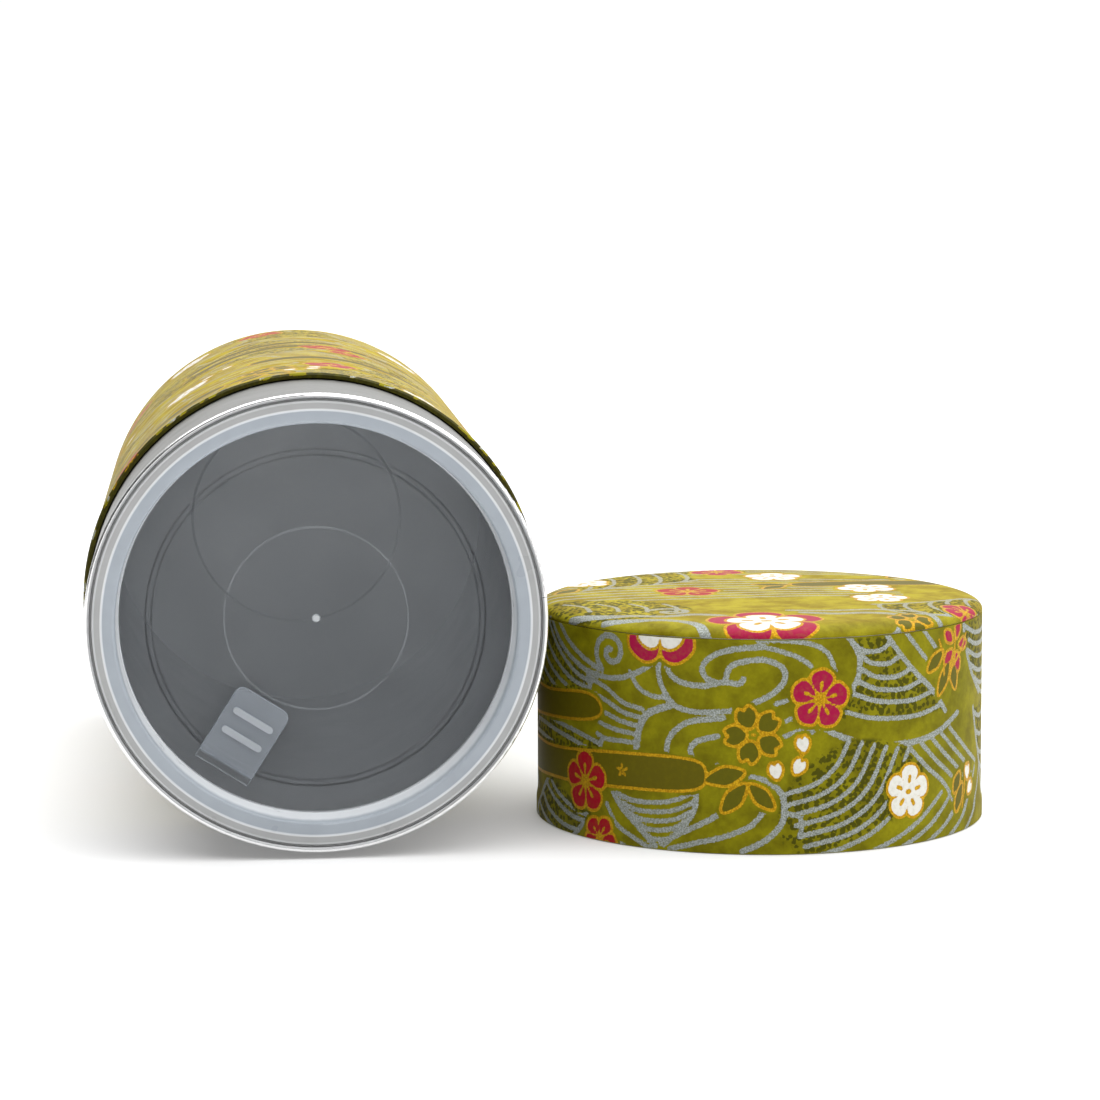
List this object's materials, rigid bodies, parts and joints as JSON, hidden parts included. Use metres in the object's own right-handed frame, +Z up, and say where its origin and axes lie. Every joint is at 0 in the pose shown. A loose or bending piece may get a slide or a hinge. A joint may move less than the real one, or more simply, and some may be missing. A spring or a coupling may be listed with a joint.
{
  "type": "tea caddy",
  "caption": "Round paper-covered tin tea caddy lying on its side, with a clear inner lid, a fold-up pull tab and a deep cap standing beside it.",
  "frame": {"origin": "on the floor, in the middle of the box round the lying can and the standing cap", "axes": "+Z up; the can's axis runs along Y with its mouth towards -Y; the cap stands at +X with its open side down"},
  "size_m": [0.1518, 0.1595, 0.076],
  "materials": {
    "printed_paper": "lightly glossy printed paper with silver waves, gold outlines and small blossoms",
    "printed_paper_disc": "lightly glossy printed paper with silver waves, gold outlines and small blossoms",
    "tinplate_bright": "bright rolled tinplate",
    "tinplate_base": "satin tinplate",
    "lid_plastic": "hazy translucent polyethylene",
    "tab_plastic": "hazy translucent polyethylene"
  },
  "bodies": {
    "can": {"base_plate": "tinplate_base", "lining_tube": "tinplate_bright", "outer_tube": "tinplate_base", "can_paper": "printed_paper"},
    "lid": {"inner_lid": "lid_plastic"},
    "tab": {"pull_tab": "tab_plastic"},
    "cap": {"cap_tube": "tinplate_base", "cap_top": "tinplate_base", "cap_paper_disc": "printed_paper_disc", "cap_paper_band": "printed_paper"}
  },
  "joints": [
    {"name": "lid_pull", "type": "slide", "parent": "can", "child": "lid", "axis": [0, -1, 0], "range_m": [0, 0.04]},
    {"name": "tab_fold", "type": "hinge", "parent": "lid", "child": "tab", "pos_m": [-0.05278, -0.06865, 0.01482], "axis": [0.8415, 0, -0.5402], "range_deg": [0, 100], "stiffness_Nm_per_rad": 0.002},
    {"name": "cap_lift", "type": "slide", "parent": "can", "child": "cap", "axis": [0.0995, 0, 0.995], "range_m": [0, 0.06]}
  ]
}
